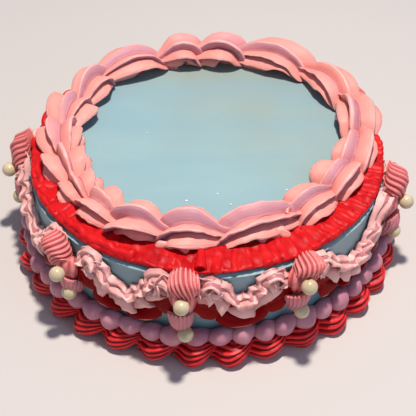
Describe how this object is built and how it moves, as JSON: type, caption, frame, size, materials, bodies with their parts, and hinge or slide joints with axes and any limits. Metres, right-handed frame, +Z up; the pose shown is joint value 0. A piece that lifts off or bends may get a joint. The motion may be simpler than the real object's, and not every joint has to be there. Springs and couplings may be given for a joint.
{
  "type": "layer cake",
  "caption": "Round iced layer cake with piped shell borders, a ruffled rim, draped ruffle swags, ridged columns and sugar pearls; rests on its flat base.",
  "frame": {"origin": "on the cake's upright axis, at the middle of the flat base that rests on the plate or table", "axes": "+Z up the cake's axis, -Y toward the front as pictured, +X to the right as pictured"},
  "size_m": [0.2503, 0.2515, 0.084],
  "materials": {
    "blue_icing": "smoothed pale blue buttercream",
    "pink_shell_icing": "piped pale pink buttercream",
    "red_ruffle_icing": "piped bright red buttercream",
    "dusty_bead_icing": "piped dusty pink buttercream",
    "red_shell_icing": "piped bright red buttercream",
    "coral_icing": "piped coral pink buttercream",
    "pink_swag_icing": "piped pale pink buttercream",
    "red_swag_icing": "piped deep red buttercream",
    "sugar_pearl": "glazed ivory sugar pearl"
  },
  "bodies": {
    "root": {"cake_body": "blue_icing", "top_border": "pink_shell_icing", "ruffle_border": "red_ruffle_icing", "bead_border": "dusty_bead_icing", "base_border": "red_shell_icing", "column_1": "coral_icing", "swag_pink_1": "pink_swag_icing", "swag_red_1": "red_swag_icing", "pearl_upper_1": "sugar_pearl", "pearl_lower_1": "sugar_pearl", "column_2": "coral_icing", "swag_pink_2": "pink_swag_icing", "swag_red_2": "red_swag_icing", "pearl_upper_2": "sugar_pearl", "pearl_lower_2": "sugar_pearl", "column_3": "coral_icing", "swag_pink_3": "pink_swag_icing", "swag_red_3": "red_swag_icing", "pearl_upper_3": "sugar_pearl", "pearl_lower_3": "sugar_pearl", "column_4": "coral_icing", "swag_pink_4": "pink_swag_icing", "swag_red_4": "red_swag_icing", "pearl_upper_4": "sugar_pearl", "pearl_lower_4": "sugar_pearl", "column_5": "coral_icing", "swag_pink_5": "pink_swag_icing", "swag_red_5": "red_swag_icing", "pearl_upper_5": "sugar_pearl", "pearl_lower_5": "sugar_pearl", "column_6": "coral_icing", "swag_pink_6": "pink_swag_icing", "swag_red_6": "red_swag_icing", "pearl_upper_6": "sugar_pearl", "pearl_lower_6": "sugar_pearl", "column_7": "coral_icing", "swag_pink_7": "pink_swag_icing", "swag_red_7": "red_swag_icing", "pearl_upper_7": "sugar_pearl", "pearl_lower_7": "sugar_pearl", "column_8": "coral_icing", "swag_pink_8": "pink_swag_icing", "swag_red_8": "red_swag_icing", "pearl_upper_8": "sugar_pearl", "pearl_lower_8": "sugar_pearl"}
  },
  "joints": []
}
